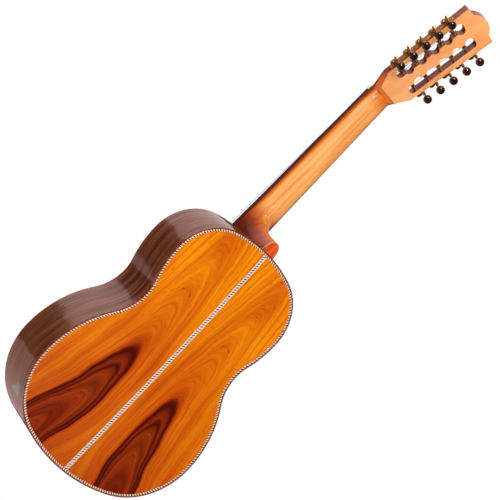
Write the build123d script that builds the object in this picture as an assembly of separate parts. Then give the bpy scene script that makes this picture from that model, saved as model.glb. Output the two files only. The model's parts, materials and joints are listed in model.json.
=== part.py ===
"""Ten-string flat-backed lute of the guitar-bodied kind, with a slotted head.

Bench frame used while modelling: the front face of the soundboard lies in the plane y = 0,
the back faces +Y, and the tail of the body stands on z = 0 with the neck rising along +Z.
Every piece is moved to the hanger frame when it is written: the origin is where a wall
hanger's yoke carries the flare of the head, midway through the head's thickness.
"""
from build123d import *
import os
from math import atan2, cos, degrees, hypot, pi, radians, sin

# ---------------------------------------------------------------- driving dimensions (mm)
# Body outline, as half widths and their heights above the tail
BODY_LENGTH = 445.0
LOWER_BOUT = 164.0
LOWER_BOUT_Z = 121.0
WAIST = 109.0
WAIST_Z = 277.4
UPPER_BOUT = 123.0
UPPER_BOUT_Z = 357.5
LOWER_CORNER_R = 112.8      # arc below the widest point of the lower bout
LOWER_FLANK_R = 171.5       # arc above it
UPPER_FLANK_R = 175.4       # arc below the widest point of the upper bout
UPPER_CORNER_R = 82.0       # arc above it

# Body depth, front face to back face at the rim, and the rise of the domed back
TAIL_DEPTH = 98.3
NECK_DEPTH_OF_BODY = 89.1
BACK_RISE = 5.3

# Plates, ribs and edge work
TOP_T = 2.6
BACK_T = 3.0
RIB_T = 2.2
BINDING_H = 4.0
PURFLING_W = 3.4
PURFLING_D = 1.4
CENTRE_STRIP_W = 7.0
LINING_W = 5.0
LINING_H = 14.0
SOUNDHOLE_R = 42.0
ROSETTE_GAP = 4.0
ROSETTE_W = 10.0
ROSETTE_D = 1.2

# Blocks and braces
HEAD_BLOCK_W = 76.0
HEAD_BLOCK_L = 30.0
TAIL_BLOCK_W = 64.0
TAIL_BLOCK_L = 18.0
BAR_W = 8.0
TOP_BAR_H = 15.0
BACK_BAR_H = 14.0
FAN_W = 6.0
FAN_H = 7.0
FAN_SPREAD = 8.0            # degrees between neighbouring fan braces
FAN_PITCH = 34.0            # between fan braces under the saddle

# Scale, fretboard and frets
OPEN_LENGTH = 297.0         # nut to body edge, at the twelfth fret
FRET_COUNT = 19
NUT_W = 43.6
NECK_W_AT_BODY = 52.2
FRETBOARD_T = 5.0
FRET_W = 2.0
FRET_H = 1.0
FRET_TANG_W = 0.6
FRET_TANG_D = 2.0
NUT_T = 5.0
NUT_H = 6.8

# Neck and heel
NECK_D_AT_NUT = 17.8
NECK_D_AT_BODY = 20.5
HEEL_CAP_HALF_W = 12.0
HEEL_CAP_L = 21.0
# Heel above its cap: depth in neck depths, half width and length of each section
HEEL_SECTIONS = [(0.45, NECK_W_AT_BODY / 2 - 2, 72.0), (1.3, 17.5, 37.0), (2.4, 13.5, 25.0)]
# Half width and depth where the round neck meets the head's flare, and again past the shoulder
SWELL_AT_FLARE = (33.0, 57.0)
SWELL_AT_SHOULDER = (37.0, 180.0)
SHOULDER_L = 12.0
HEEL_CAP_T = 3.0
HEEL_LINE_T = 0.8
TENON_W = 22.0
TENON_L = 16.0
TENON_GAP = 0.15

# Head, in its own plane: x across, u up the head from the nut, n out of its back face
HEAD_TILT = 17.5
HEAD_T = 16.5
VENEER_T = 1.5
FLARE_W = 31.8              # half width where the flare meets the straight sides
FLARE_U = 27.7
EAR_W = 36.2
EAR_U = 184.4
CROWN_W = 22.4              # half chord of the crown's central lobe
CROWN_U = 185.9
CROWN_RISE = 10.3
SLOT_OUT = 25.0
SLOT_IN = 10.6
SLOT_BOTTOM_U = 37.8
SLOT_TOP_U = 164.1
SCALLOP_R = 6.6
SCALLOP_D = 4.8
SLOT_END_R = 6.0
RAMP_L = 18.0
RAMP_D = 5.0

# Tuning machines
TUNERS_A_SIDE = 5
FIRST_TUNER_U = 46.6
TUNER_PITCH = 24.4
GEAR_TEETH = 14
WORM_PITCH = 2.1            # lead of the single-start worm
WORM_MEAN_R = 2.12
THREAD_RISE = 0.5           # crests and roots lie this far either side of the mean radius
WORM_TURNS = 3.5
MESH_GAP = 0.15             # added to the centre distance so that the teeth run free
GEAR_T = 2.4
GEAR_TIP_GAP = 0.12
ROLLER_R = 3.2
ROLLER_IN_WEB = 5.5
RUN_GAP = 0.06              # radial clearance of shafts in their holes
SPINDLE_R = 1.25
STEM_R = 1.7
PLATE_T = 1.3
PLATE_H = 13.2
PLATE_END = 9.6             # plate length past the first roller
WORM_OUT = 5.7              # worm axis to the side of the head
LUG_T = 1.5
LUG_R = 2.4
LUG_GAP = 0.3
BUTTON_R = 6.7
BUTTON_H = 10.6
BUTTON_N = 17.6             # button centre behind the back face of the head
GEAR_SCREW_R = 2.4
GEAR_SCREW_H = 1.2
STRING_HOLE_R = 0.6
SCREW_R = 1.1
SCREW_HEAD_R = 2.0
SCREW_HEAD_H = 1.1
SCREW_L = 6.0

# Bridge and strings
BRIDGE_W = 176.0
BRIDGE_L = 28.0
BRIDGE_BLOCK_W = 92.0
BRIDGE_BLOCK_H = 9.0
BRIDGE_WING_H = 4.0
BRIDGE_PLATE_L = 46.0
BRIDGE_PLATE_T = 2.4
SADDLE_W = 82.0
SADDLE_T = 2.8
SADDLE_H = 4.2              # above the bridge
SADDLE_SEAT = 5.0
SADDLE_TO_EDGE = 7.0
COURSE_PITCH_NUT = 9.0
COURSE_PITCH_SADDLE = 16.0
PAIR_PITCH_NUT = 2.4
PAIR_PITCH_SADDLE = 3.4
STRING_R = 0.3
STRING_STOP = 0.3           # clear of the roller that it winds on

# ---------------------------------------------------------------- derived places
JOIN_Z = BODY_LENGTH
NUT_Z = JOIN_Z + OPEN_LENGTH
SCALE_LENGTH = 2 * OPEN_LENGTH
SADDLE_Z = NUT_Z - SCALE_LENGTH
HEAD_Z = NUT_Z + NUT_T
TILT = radians(HEAD_TILT)
HEAD_BACK_Y = HEAD_T / cos(TILT)
HANGER_U = 12.0
HANGER_Y = HEAD_BACK_Y + HANGER_U * sin(TILT) - HEAD_T / 2 * cos(TILT)
HANGER_Z = HEAD_Z + HANGER_U * cos(TILT) + HEAD_T / 2 * sin(TILT)
WORM_ALONG = GEAR_TEETH * WORM_PITCH / (2 * pi) + WORM_MEAN_R + MESH_GAP
GEAR_TIP_R = WORM_ALONG - WORM_MEAN_R + THREAD_RISE - MESH_GAP - GEAR_TIP_GAP
SIDE_ANGLE = degrees(atan2(EAR_W - FLARE_W, EAR_U - FLARE_U))
FAR_Y = TAIL_DEPTH + 4 * BACK_RISE      # behind every part of the back


def fret_distance(number):
    """Distance from the nut to a fret."""
    return SCALE_LENGTH * (1 - 2 ** (-number / 12))


FRETBOARD_END_Z = NUT_Z - fret_distance(FRET_COUNT) - 4
SOUNDHOLE_Z = FRETBOARD_END_Z - SOUNDHOLE_R


def write(shape, name):
    """Move a piece from the bench frame to the hanger frame and write it."""
    export_step(Pos(0, -HANGER_Y, -HANGER_Z) * shape, f"parts/{name}.step")


def mirrored(shape):
    """The same piece on the other side of the centre plane."""
    return mirror(shape, about=Plane.YZ)


def front_prism(face, y_near, y_far):
    """Raise a face drawn in (x, z) into a prism between two depths."""
    return extrude(Plane.XZ.offset(-y_near) * face, amount=-(y_far - y_near))


def brick(x0, x1, y0, y1, z0, z1):
    """A box between two corners."""
    size = Box(x1 - x0, y1 - y0, z1 - z0)
    return Pos((x0 + x1) / 2, (y0 + y1) / 2, (z0 + z1) / 2) * size


# ---------------------------------------------------------------- body outline
def tangent_arcs():
    """Centres, radii and ends of the eight arcs from the tail to the top, on one half."""
    low_rise = LOWER_BOUT_Z
    tail_r = (LOWER_BOUT ** 2 + low_rise ** 2 - 2 * LOWER_BOUT * LOWER_CORNER_R) / (
        2 * (low_rise - LOWER_CORNER_R)
    )
    top_rise = BODY_LENGTH - UPPER_BOUT_Z
    top_r = (UPPER_BOUT ** 2 + top_rise ** 2 - 2 * UPPER_BOUT * UPPER_CORNER_R) / (
        2 * (top_rise - UPPER_CORNER_R)
    )
    low_side = LOWER_FLANK_R - LOWER_BOUT + WAIST
    low_waist_r = (low_side ** 2 + (WAIST_Z - LOWER_BOUT_Z) ** 2 - LOWER_FLANK_R ** 2) / (
        2 * (LOWER_FLANK_R - low_side)
    )
    up_side = UPPER_FLANK_R - UPPER_BOUT + WAIST
    up_waist_r = (up_side ** 2 + (UPPER_BOUT_Z - WAIST_Z) ** 2 - UPPER_FLANK_R ** 2) / (
        2 * (UPPER_FLANK_R - up_side)
    )
    arcs = [
        (0, tail_r, tail_r, 1),
        (LOWER_BOUT - LOWER_CORNER_R, LOWER_BOUT_Z, LOWER_CORNER_R, 1),
        (LOWER_BOUT - LOWER_FLANK_R, LOWER_BOUT_Z, LOWER_FLANK_R, 1),
        (WAIST + low_waist_r, WAIST_Z, low_waist_r, -1),
        (WAIST + up_waist_r, WAIST_Z, up_waist_r, -1),
        (UPPER_BOUT - UPPER_FLANK_R, UPPER_BOUT_Z, UPPER_FLANK_R, 1),
        (UPPER_BOUT - UPPER_CORNER_R, UPPER_BOUT_Z, UPPER_CORNER_R, 1),
        (0, BODY_LENGTH - top_r, top_r, 1),
    ]
    return arcs


def outline(inset=0.0):
    """The body's outline as a face in (x, z), moved inwards by an even margin."""
    arcs = tangent_arcs()
    start = (0.0, 0.0)
    joints = [start]
    for near, far in zip(arcs, arcs[1:]):
        gap = hypot(far[0] - near[0], far[1] - near[1])
        if near[3] == far[3]:
            big, small = (near, far) if near[2] > far[2] else (far, near)
            if gap < 1e-9 or near[1] == far[1]:
                joints.append((near[0] + near[3] * near[2], near[1]))
                continue
            share = big[2] / gap
            joints.append((big[0] + (small[0] - big[0]) * share, big[1] + (small[1] - big[1]) * share))
        else:
            share = near[2] / gap
            joints.append((near[0] + (far[0] - near[0]) * share, near[1] + (far[1] - near[1]) * share))
    joints.append((0.0, BODY_LENGTH))
    edges = []
    for (cx, cz, radius, bulge), first, last in zip(arcs, joints, joints[1:]):
        from_angle = atan2(first[1] - cz, first[0] - cx)
        to_angle = atan2(last[1] - cz, last[0] - cx)
        sweep_angle = (to_angle - from_angle + pi) % (2 * pi) - pi
        used = radius - bulge * inset
        ends = []
        for angle in (from_angle, from_angle + sweep_angle / 2, from_angle + sweep_angle):
            ends.append((cx + used * cos(angle), cz + used * sin(angle)))
        edges.append(ends)
    wires = []
    for ends in edges:
        wires.append(ThreePointArc(*ends))
        wires.append(ThreePointArc(*[(-x, z) for x, z in ends]))
    return make_face(wires)


def edge_ring(outer_inset, inner_inset, y_near, y_far):
    """A band that follows the outline between two insets."""
    return front_prism(outline(outer_inset), y_near, y_far) - front_prism(
        outline(inner_inset), y_near - 1, y_far + 1
    )


# The outer face of the back is part of a large sphere through the rim at tail and neck.
CHORD = hypot(BODY_LENGTH, TAIL_DEPTH - NECK_DEPTH_OF_BODY)
BACK_R = CHORD ** 2 / (8 * BACK_RISE) + BACK_RISE / 2
BACK_CENTRE_Y = (TAIL_DEPTH + NECK_DEPTH_OF_BODY) / 2 + (BACK_RISE - BACK_R) * BODY_LENGTH / CHORD
BACK_CENTRE_Z = BODY_LENGTH / 2 + (BACK_RISE - BACK_R) * (TAIL_DEPTH - NECK_DEPTH_OF_BODY) / CHORD


def ball(depth):
    """Everything that lies at least this deep below the outer face of the back."""
    return Pos(0, BACK_CENTRE_Y, BACK_CENTRE_Z) * Sphere(BACK_R - depth)


def back_shell(solid, shallow, deep):
    """The slice of a solid between two depths below the outer face of the back."""
    return (solid & ball(shallow)) - ball(deep)


RIGHT_HALF = brick(-2 * LOWER_BOUT, 0, -BODY_LENGTH, BODY_LENGTH, -BODY_LENGTH, 2 * BODY_LENGTH)
MORTISE = brick(
    -TENON_W / 2 - TENON_GAP,
    TENON_W / 2 + TENON_GAP,
    BINDING_H,
    NECK_DEPTH_OF_BODY - BACK_T - HEEL_CAP_T - 2,
    JOIN_Z - RIB_T - TENON_L - TENON_GAP,
    JOIN_Z + 1,
)


# ---------------------------------------------------------------- soundboard, ribs and back
def build_box():
    """The plates, ribs, bindings and inlays of the body."""
    hole = front_prism(Pos(0, SOUNDHOLE_Z) * Circle(SOUNDHOLE_R), -1, TOP_T + 1)
    band = Circle(SOUNDHOLE_R + ROSETTE_GAP + ROSETTE_W) - Circle(SOUNDHOLE_R + ROSETTE_GAP)
    rosette = front_prism(Pos(0, SOUNDHOLE_Z) * band, 0, ROSETTE_D)
    write(front_prism(outline(RIB_T), 0, TOP_T) - hole - rosette, "soundboard")
    write(rosette, "rosette")
    write(edge_ring(0, RIB_T, 0, BINDING_H), "top_binding")
    ribs = (edge_ring(0, RIB_T, BINDING_H, FAR_Y) & ball(BINDING_H)) - MORTISE
    write(ribs - RIGHT_HALF, "side_left")
    write(ribs & RIGHT_HALF, "side_right")
    plate = back_shell(front_prism(outline(RIB_T), TAIL_DEPTH / 2, FAR_Y), 0, BACK_T)
    purfling = back_shell(edge_ring(RIB_T, RIB_T + PURFLING_W, TAIL_DEPTH / 2, FAR_Y), 0, PURFLING_D)
    half = CENTRE_STRIP_W / 2
    column = brick(-half, half, TAIL_DEPTH / 2, FAR_Y, 0, BODY_LENGTH)
    inside = front_prism(outline(RIB_T + PURFLING_W), TAIL_DEPTH / 2, FAR_Y)
    strip = back_shell(column & inside, 0, PURFLING_D)
    plate = plate - purfling - strip
    write(plate - RIGHT_HALF, "back_left")
    write(plate & RIGHT_HALF, "back_right")
    write(strip, "back_centre_strip")
    write(purfling, "back_purfling")
    write(back_shell(edge_ring(0, RIB_T, TAIL_DEPTH / 2, FAR_Y), 0, BINDING_H), "back_binding")


def build_inside():
    """Linings, blocks and braces inside the body."""
    core = front_prism(outline(RIB_T), TOP_T, FAR_Y) & ball(BACK_T)
    head_seat = brick(
        -HEAD_BLOCK_W / 2, HEAD_BLOCK_W / 2, 0, FAR_Y, JOIN_Z - RIB_T - HEAD_BLOCK_L, JOIN_Z
    )
    tail_seat = brick(-TAIL_BLOCK_W / 2, TAIL_BLOCK_W / 2, 0, FAR_Y, 0, RIB_T + TAIL_BLOCK_L)
    write((core & head_seat) - MORTISE, "head_block")
    write(core & tail_seat, "tail_block")
    top_lining = edge_ring(RIB_T, RIB_T + LINING_W, TOP_T, TOP_T + LINING_H)
    write(top_lining - head_seat - tail_seat, "top_linings")
    back_ring = edge_ring(RIB_T, RIB_T + LINING_W, TAIL_DEPTH / 2, FAR_Y)
    write(back_shell(back_ring, BACK_T, BACK_T + LINING_H) - head_seat - tail_seat, "back_linings")

    room = outline(RIB_T + LINING_W)
    top_room = front_prism(room, TOP_T, TOP_T + TOP_BAR_H)
    lower_bar_z = SOUNDHOLE_Z - SOUNDHOLE_R - 3 * BAR_W / 2
    upper_bar_z = SOUNDHOLE_Z + SOUNDHOLE_R + 3 * BAR_W / 2
    bars = []
    for middle in (lower_bar_z, upper_bar_z):
        bar = brick(-LOWER_BOUT, LOWER_BOUT, TOP_T, TOP_T + TOP_BAR_H, middle - BAR_W / 2, middle + BAR_W / 2)
        bars.append(bar & top_room)
    bridge_pad = brick(
        -BRIDGE_W / 2,
        BRIDGE_W / 2,
        TOP_T,
        TOP_T + BRIDGE_PLATE_T,
        SADDLE_Z - BRIDGE_PLATE_L / 2 - SADDLE_TO_EDGE,
        SADDLE_Z + BRIDGE_PLATE_L / 2 - SADDLE_TO_EDGE,
    )
    fan_top = lower_bar_z - BAR_W / 2
    fan_bottom = RIB_T + TAIL_BLOCK_L + LINING_W
    for step in (-2, -1, 0, 1, 2):
        length = 2 * (fan_top - fan_bottom)
        stick = Box(FAN_W, FAN_H, length)
        stick = Pos(step * FAN_PITCH, TOP_T + FAN_H / 2, SADDLE_Z) * Rot(0, -step * FAN_SPREAD, 0) * stick
        window = brick(-LOWER_BOUT, LOWER_BOUT, 0, FAR_Y, fan_bottom, fan_top)
        bars.append((stick & window & top_room) - bridge_pad)
    write(Compound(children=solids_of(bars)), "top_braces")
    write(bridge_pad, "bridge_plate")

    back_room = front_prism(room, TAIL_DEPTH / 2, FAR_Y)
    back_bars = []
    for middle in (BODY_LENGTH * 0.2, BODY_LENGTH * 0.5, BODY_LENGTH * 0.78):
        bar = brick(-LOWER_BOUT, LOWER_BOUT, TAIL_DEPTH / 2, FAR_Y, middle - BAR_W / 2, middle + BAR_W / 2)
        back_bars.append(back_shell(bar & back_room, BACK_T, BACK_T + BACK_BAR_H))
    write(Compound(children=solids_of(back_bars)), "back_braces")


def solids_of(shapes):
    """Every solid in a list of shapes."""
    found = []
    for shape in shapes:
        found.extend(shape.solids())
    return found


# ---------------------------------------------------------------- head plane helpers
HEAD_PLANE = Plane(
    origin=(0, HEAD_BACK_Y, HEAD_Z), x_dir=(-1, 0, 0), z_dir=(0, cos(TILT), -sin(TILT))
)


def head_point(x, u, n):
    """Bench position of a point given across, up and out of the back face of the head."""
    return (x, HEAD_BACK_Y + u * sin(TILT) + n * cos(TILT), HEAD_Z + u * cos(TILT) - n * sin(TILT))


def head_prism(face, n_low, n_high):
    """Raise a face drawn in (x, u) on the head between two heights over its back face."""
    return extrude(HEAD_PLANE.offset(n_low) * face, amount=n_high - n_low)


def side_half_width(u):
    """Half width of the head's straight sides."""
    return FLARE_W + (u - FLARE_U) * (EAR_W - FLARE_W) / (EAR_U - FLARE_U)


def head_outline():
    """The head's face: flare, straight sides, ears and the crown's central lobe."""
    neck_half = NUT_W / 2
    left = [
        (neck_half, -2 * NUT_T),
        (neck_half, 0),
        (FLARE_W, FLARE_U),
        (EAR_W, EAR_U),
        (CROWN_W, CROWN_U),
    ]
    right = [(-x, u) for x, u in left]
    lines = [
        Polyline(*left),
        ThreePointArc(left[-1], (0, CROWN_U + CROWN_RISE), right[-1]),
        Polyline(*right[::-1]),
        Line(right[0], left[0]),
    ]
    return make_face(lines)


def slot_face():
    """One string slot: straight outer edge, round ends and a scalloped inner edge."""
    width = SLOT_OUT - SLOT_IN
    length = SLOT_TOP_U - SLOT_BOTTOM_U
    centre = Pos((SLOT_OUT + SLOT_IN) / 2, (SLOT_TOP_U + SLOT_BOTTOM_U) / 2)
    face = centre * RectangleRounded(width, length, SLOT_END_R)
    for number in range(TUNERS_A_SIDE):
        middle = FIRST_TUNER_U + (number + 0.5) * TUNER_PITCH
        bay = Pos(SLOT_IN + SCALLOP_R - SCALLOP_D, middle) * Circle(SCALLOP_R)
        face = face + bay
    return face


def slot_cuts():
    """Both string slots, with the ramps that let the strings dive into them."""
    slot = head_prism(slot_face(), -2 * HEAD_T, HEAD_T)
    profile = Polyline(
        (SLOT_BOTTOM_U - RAMP_L, -HEAD_T),
        (SLOT_BOTTOM_U + SLOT_END_R, -HEAD_T + RAMP_D * (1 + SLOT_END_R / RAMP_L)),
        (SLOT_BOTTOM_U + SLOT_END_R, -2 * HEAD_T),
        (SLOT_BOTTOM_U - RAMP_L, -2 * HEAD_T),
        close=True,
    )
    side_plane = Plane(
        origin=(SLOT_IN, HEAD_BACK_Y, HEAD_Z), x_dir=(0, sin(TILT), cos(TILT)), z_dir=(1, 0, 0)
    )
    wedge = side_plane * make_face(Polyline(*[(v.X, -v.Y) for v in profile.vertices()], close=True))
    ramp = extrude(wedge, amount=SLOT_OUT - SLOT_IN)
    one = slot + ramp
    return one + mirrored(one)


# ---------------------------------------------------------------- neck, heel and head
def half_oval(half_width, depth, z):
    """A flat-fronted oval section of the neck."""
    section = Plane(origin=(0, 0, z), x_dir=(1, 0, 0), z_dir=(0, 0, 1))
    arc = EllipticalCenterArc((0, 0), half_width, depth, 0, arc_size=180)
    return section * make_face([arc, Line((-half_width, 0), (half_width, 0))])


def heel_section(y, half_width, length):
    """A tongue-shaped section of the heel, with its straight side inside the body."""
    base = JOIN_Z - RIB_T
    arc = EllipticalCenterArc((0, base), half_width, length + RIB_T, 0, arc_size=180)
    return Plane.XZ.offset(-y) * make_face([arc, Line((-half_width, base), (half_width, base))])


HEEL_END_Y = NECK_DEPTH_OF_BODY - HEEL_CAP_T - HEEL_LINE_T


def build_neck():
    """Neck shaft, heel with tenon, and the slotted head, in one piece of wood."""
    slope = (NECK_W_AT_BODY - NUT_W) / 2 / OPEN_LENGTH
    shaft = loft(
        [
            half_oval(NECK_W_AT_BODY / 2 + slope * RIB_T, NECK_D_AT_BODY, JOIN_Z - RIB_T),
            half_oval(NUT_W / 2, NECK_D_AT_NUT, HEAD_Z),
        ],
        ruled=True,
    )
    heel = loft(
        [
            heel_section(NECK_D_AT_BODY * depths, half_width, length)
            for depths, half_width, length in HEEL_SECTIONS
        ]
        + [heel_section(HEEL_END_Y, HEEL_CAP_HALF_W, HEEL_CAP_L)]
    )
    body_block = front_prism(outline(), -2 * FRETBOARD_T, FAR_Y)
    tenon = brick(
        -TENON_W / 2,
        TENON_W / 2,
        BINDING_H + TENON_GAP,
        NECK_DEPTH_OF_BODY - BACK_T - HEEL_CAP_T - 2 - TENON_GAP,
        JOIN_Z - RIB_T - TENON_L,
        JOIN_Z,
    )

    # The round back of the neck widens into the flat back of the head below the slots.
    flare_z = HEAD_Z + FLARE_U * cos(TILT)
    shoulder_z = flare_z + SHOULDER_L
    at_flare = half_oval(*SWELL_AT_FLARE, flare_z)
    swell = loft([half_oval(NUT_W / 2, NECK_D_AT_NUT, HEAD_Z), at_flare], ruled=True)
    shoulder = loft([at_flare, half_oval(*SWELL_AT_SHOULDER, shoulder_z)], ruled=True)
    above = brick(-2 * EAR_W, 2 * EAR_W, -FAR_Y, 2 * FAR_Y, shoulder_z, shoulder_z + 2 * FAR_Y)
    head = head_prism(head_outline(), -HEAD_T + VENEER_T, 0) & (swell + shoulder + above)

    wood = (shaft + heel - body_block) + tenon + head
    wood = wood - slot_cuts()
    return wood


def build_head_trim(strings):
    """Front veneer with the grooves its strings lie in, and the heel cap with its line."""
    front = head_prism(head_outline(), -HEAD_T, -HEAD_T + VENEER_T)
    past_nut = brick(-2 * EAR_W, 2 * EAR_W, -100, 300, HEAD_Z, HEAD_Z + 400)
    write((front & past_nut) - slot_cuts() - strings, "head_veneer")
    body_block = front_prism(outline(), -2 * FRETBOARD_T, FAR_Y)
    line = extrude(heel_section(HEEL_END_Y, HEEL_CAP_HALF_W, HEEL_CAP_L), amount=-HEEL_LINE_T)
    cap_face = heel_section(HEEL_END_Y + HEEL_LINE_T, HEEL_CAP_HALF_W, HEEL_CAP_L)
    cap = extrude(cap_face, amount=-(HEEL_CAP_T + 0.6))
    write(line - body_block, "heel_cap_line")
    write(cap - body_block, "heel_cap")


# ---------------------------------------------------------------- fretboard, frets and nut
def board_half_width(z):
    """Half width of the fretboard at a height."""
    return NUT_W / 2 + (NUT_Z - z) * (NECK_W_AT_BODY - NUT_W) / 2 / OPEN_LENGTH


def string_x(course, side, at_nut):
    """Sideways place of a string: course -2 to 2, side -1 or 1 within its pair."""
    if at_nut:
        return course * COURSE_PITCH_NUT + side * PAIR_PITCH_NUT / 2
    return course * COURSE_PITCH_SADDLE + side * PAIR_PITCH_SADDLE / 2


STRINGS = [(course, side) for course in (-2, -1, 0, 1, 2) for side in (-1, 1)]
NUT_STRING_Y = -NUT_H + 0.1
SADDLE_STRING_Y = -(BRIDGE_BLOCK_H + SADDLE_H) - STRING_R
TIE_Y = -BRIDGE_BLOCK_H / 2
BRIDGE_LOW_Z = SADDLE_Z - BRIDGE_L + SADDLE_TO_EDGE


def build_fretboard(strings):
    """Fretboard with its frets let into slots, and the grooved nut at its end."""
    low_half = board_half_width(FRETBOARD_END_Z)
    high_half = NUT_W / 2
    shape = Polyline(
        (-low_half, FRETBOARD_END_Z), (low_half, FRETBOARD_END_Z), (high_half, NUT_Z), (-high_half, NUT_Z),
        close=True,
    )
    board = front_prism(make_face(shape), -FRETBOARD_T, 0)
    frets = []
    for number in range(1, FRET_COUNT + 1):
        z = NUT_Z - fret_distance(number)
        half = board_half_width(z + FRET_W) - 0.1
        crown = Cylinder(FRET_W / 2, 2 * half, rotation=(0, 90, 0))
        crown = Pos(0, -FRETBOARD_T, z) * crown
        crown = crown & brick(-half, half, -FRETBOARD_T - FRET_W, -FRETBOARD_T, z - FRET_W, z + FRET_W)
        tang = brick(
            -half, half, -FRETBOARD_T, -FRETBOARD_T + FRET_TANG_D, z - FRET_TANG_W / 2, z + FRET_TANG_W / 2
        )
        slot = brick(
            -2 * half, 2 * half, -2 * FRETBOARD_T, -FRETBOARD_T + FRET_TANG_D,
            z - FRET_TANG_W / 2, z + FRET_TANG_W / 2,
        )
        board = board - slot
        frets.append(crown + tang)
    write(board, "fretboard")
    write(Compound(children=solids_of(frets)), "frets")

    nut = brick(-high_half, high_half, -NUT_H, 0, NUT_Z, HEAD_Z)
    for course, side in STRINGS:
        nut_point, roller_point = string_path(course, side)[-2:]
        along = Plane(origin=nut_point, x_dir=(1, 0, 0), z_dir=roller_point - nut_point)
        nut = nut - along * Pos(0, -NUT_H, NUT_T) * Box(3 * STRING_R, 2 * NUT_H, 4 * NUT_T)
    write(nut - strings, "nut")


# ---------------------------------------------------------------- bridge and saddle
def build_bridge(strings):
    """Bridge with ten string holes and a bone saddle, notched by the strings, in its slot."""
    low = BRIDGE_LOW_Z
    high = SADDLE_Z + SADDLE_TO_EDGE
    wings = brick(-BRIDGE_W / 2, BRIDGE_W / 2, -BRIDGE_WING_H, 0, low, high)
    wings = fillet(wings.edges().filter_by(Axis.Y), SADDLE_TO_EDGE)
    block = brick(-BRIDGE_BLOCK_W / 2, BRIDGE_BLOCK_W / 2, -BRIDGE_BLOCK_H, 0, low, high)
    block = fillet(block.edges().filter_by(Axis.Z).group_by(Axis.Y)[0], BRIDGE_WING_H / 2)
    half_t = SADDLE_T / 2
    seat_y = -BRIDGE_BLOCK_H + SADDLE_SEAT
    slot = brick(
        -SADDLE_W / 2, SADDLE_W / 2, -2 * BRIDGE_BLOCK_H, seat_y, SADDLE_Z - half_t, SADDLE_Z + half_t
    )
    bridge = wings + block - slot
    valley = brick(
        -SADDLE_W / 2, SADDLE_W / 2, -2 * BRIDGE_BLOCK_H, TIE_Y + STRING_R + RUN_GAP,
        SADDLE_Z - half_t - 5, SADDLE_Z - half_t,
    )
    bridge = bridge - valley
    for course, side in STRINGS:
        x = string_x(course, side, False)
        bore = Pos(x, TIE_Y, low) * Cylinder(STRING_R + RUN_GAP, 2 * BRIDGE_L)
        bridge = bridge - bore
    write(bridge, "bridge")
    saddle = brick(
        -SADDLE_W / 2 + TENON_GAP, SADDLE_W / 2 - TENON_GAP, -BRIDGE_BLOCK_H - SADDLE_H, seat_y,
        SADDLE_Z - half_t, SADDLE_Z + half_t,
    )
    write(saddle - strings, "saddle")


# ---------------------------------------------------------------- tuning machines
# Local frame of one machine on the right-hand side of the head: x out of the side,
# y up the head and z out of the back face, with the roller's axis along x at the origin.
def tuner_u(number):
    """Place of a roller up the head."""
    return FIRST_TUNER_U + number * TUNER_PITCH


def side_plane_at(u):
    """Local frame on the right-hand side of the head at the middle of its thickness."""
    slant = radians(SIDE_ANGLE)
    edge = side_half_width(u)
    out = Vector(-cos(slant), -sin(slant) * sin(TILT), -sin(slant) * cos(TILT))
    return Plane(
        origin=head_point(-edge, u, -HEAD_T / 2), x_dir=out, z_dir=(0, cos(TILT), -sin(TILT))
    )


def rod(radius, x0, x1):
    """A round bar along the local x axis."""
    bar = Cylinder(radius, x1 - x0, rotation=(0, 90, 0))
    return Pos((x0 + x1) / 2, 0, 0) * bar


def gear_profile():
    """Toothed wheel that the worm turns, with a gap facing the worm at rest."""
    wheel = Circle(GEAR_TIP_R)
    root_r = GEAR_TIP_R - 2 * THREAD_RISE
    gap = make_face(
        Polyline(
            (root_r, -0.34), (GEAR_TIP_R + 0.3, -1.12), (GEAR_TIP_R + 0.3, 1.12), (root_r, 0.34), close=True
        )
    )
    for tooth in range(GEAR_TEETH):
        wheel = wheel - Rot(0, 0, tooth * 360 / GEAR_TEETH) * gap
    return wheel


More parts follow.
